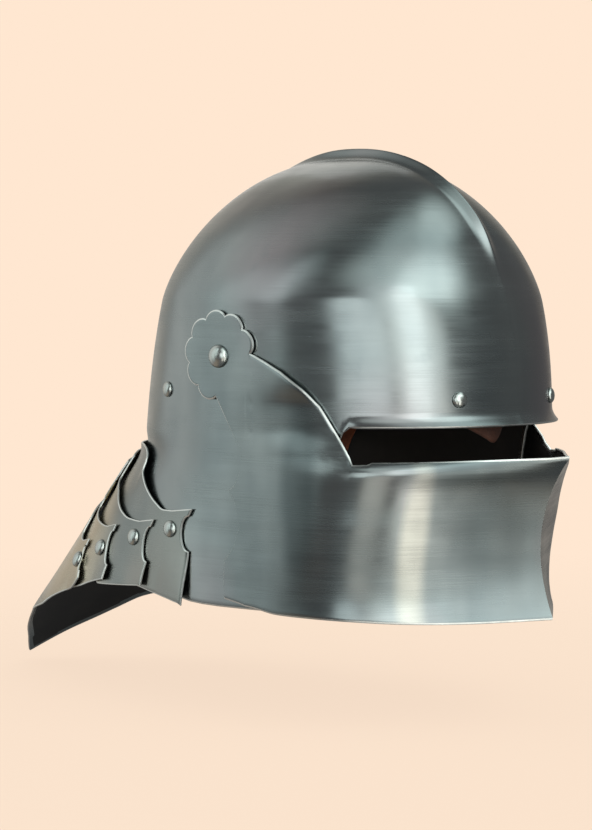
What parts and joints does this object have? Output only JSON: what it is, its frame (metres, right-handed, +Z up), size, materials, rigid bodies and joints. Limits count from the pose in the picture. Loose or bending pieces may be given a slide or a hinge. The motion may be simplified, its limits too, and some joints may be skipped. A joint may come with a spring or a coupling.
{
  "type": "sallet helmet",
  "caption": "Steel sallet helmet: round combed skull, hinged ridged visor with scalloped ends below a sight slot, hinged tail plates running to a point behind, leather liner and chin strap.",
  "frame": {"origin": "centre of the head opening, at the height of the skull plate's lower rim over the ears", "axes": "+X to the wearer's left, +Y towards the back, -Y the way the face looks, +Z up to the crown"},
  "size_m": [0.223, 0.4353, 0.3277],
  "materials": {
    "plate": "hand-brushed satin, with a faint blue-green cast",
    "rivet": "polished domes",
    "washer": "plain turned",
    "liner": "brown, dull",
    "strap": "red-brown, smooth",
    "buckle": "dull polish"
  },
  "bodies": {
    "skull": {"skull": "plate", "pivot_rivet_left": "rivet", "pivot_rivet_right": "rivet", "pivot_washer_left": "washer", "pivot_washer_right": "washer", "brow_rivet_left": "rivet", "brow_rivet_right": "rivet", "side_rivet_left": "rivet", "side_rivet_right": "rivet", "liner_washers": "washer", "liner_band": "liner", "liner_crown": "liner", "liner_flap": "liner", "strap_left": "strap", "strap_right": "strap", "buckle_frame": "buckle"},
    "visor": {"visor": "plate"},
    "lame_1": {"lame_1": "plate", "lame_1_rivet_left": "rivet", "lame_1_rivet_right": "rivet", "lame_1_washers": "washer"},
    "lame_2": {"lame_2": "plate", "lame_2_rivet_left": "rivet", "lame_2_rivet_right": "rivet", "lame_2_washers": "washer"},
    "lame_3": {"lame_3": "plate", "lame_3_rivet_left": "rivet", "lame_3_rivet_right": "rivet", "lame_3_washers": "washer"},
    "tail_plate": {"tail_plate": "plate", "tail_rivet_left": "rivet", "tail_rivet_right": "rivet", "tail_washers": "washer"},
    "buckle_prong": {"buckle_prong": "buckle"}
  },
  "joints": [
    {"name": "visor_raise", "type": "hinge", "parent": "skull", "child": "visor", "pos_m": [0, 0.0095, 0.1434], "axis": [-1, 0, 0], "range_deg": [0, 60]},
    {"name": "lame_1_swing", "type": "hinge", "parent": "skull", "child": "lame_1", "pos_m": [0, 0.0495, 0.0422], "axis": [1, 0, 0], "range_deg": [0, 3]},
    {"name": "lame_2_swing", "type": "hinge", "parent": "lame_1", "child": "lame_2", "pos_m": [0, 0.0815, 0.0353], "axis": [1, 0, 0], "range_deg": [0, 2.5]},
    {"name": "lame_3_swing", "type": "hinge", "parent": "lame_2", "child": "lame_3", "pos_m": [0, 0.115, 0.0266], "axis": [1, 0, 0], "range_deg": [0, 2.5]},
    {"name": "tail_plate_swing", "type": "hinge", "parent": "lame_3", "child": "tail_plate", "pos_m": [0, 0.14, 0.0174], "axis": [1, 0, 0], "range_deg": [0, 3.5]},
    {"name": "prong_lift", "type": "hinge", "parent": "skull", "child": "buckle_prong", "pos_m": [-0.08111, 0.07631, 0.08203], "axis": [-0.4597, -0.7737, -0.4359], "range_deg": [0, 60]}
  ]
}
